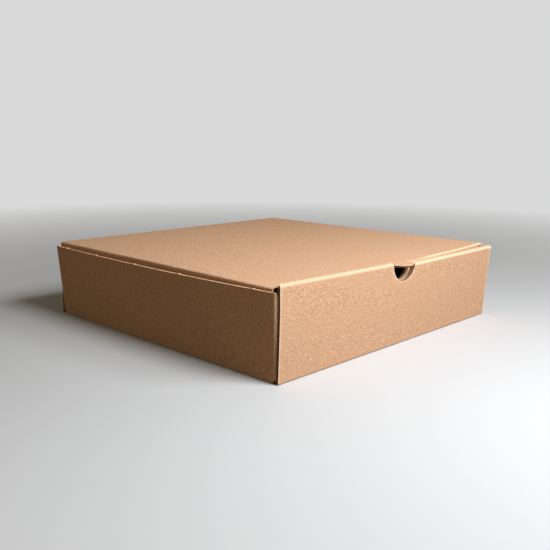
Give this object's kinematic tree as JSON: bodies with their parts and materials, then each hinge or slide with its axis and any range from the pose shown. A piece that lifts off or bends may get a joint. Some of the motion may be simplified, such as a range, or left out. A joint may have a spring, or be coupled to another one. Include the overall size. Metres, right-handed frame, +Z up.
{
  "type": "pizza box",
  "caption": "Square flat box folded from plain corrugated board, with a hinged tuck-in lid, a rolled double front wall and a half-moon thumb notch.",
  "frame": {"origin": "middle of the underside of the base, on the surface that the box stands on", "axes": "+Z up, -Y towards the rolled front wall with the thumb notch, +Y towards the hinge, +X to the right seen from the front"},
  "size_m": [0.215, 0.2114, 0.0512],
  "materials": {
    "kraft_board": "matte unbleached kraft liner"
  },
  "bodies": {
    "tray": {"tray": "kraft_board"},
    "lid": {"lid": "kraft_board"}
  },
  "joints": [
    {"name": "lid_hinge", "type": "hinge", "parent": "tray", "child": "lid", "pos_m": [0, 0.1008, 0.0484], "axis": [-1, 0, 0], "range_deg": [0, 180]}
  ]
}
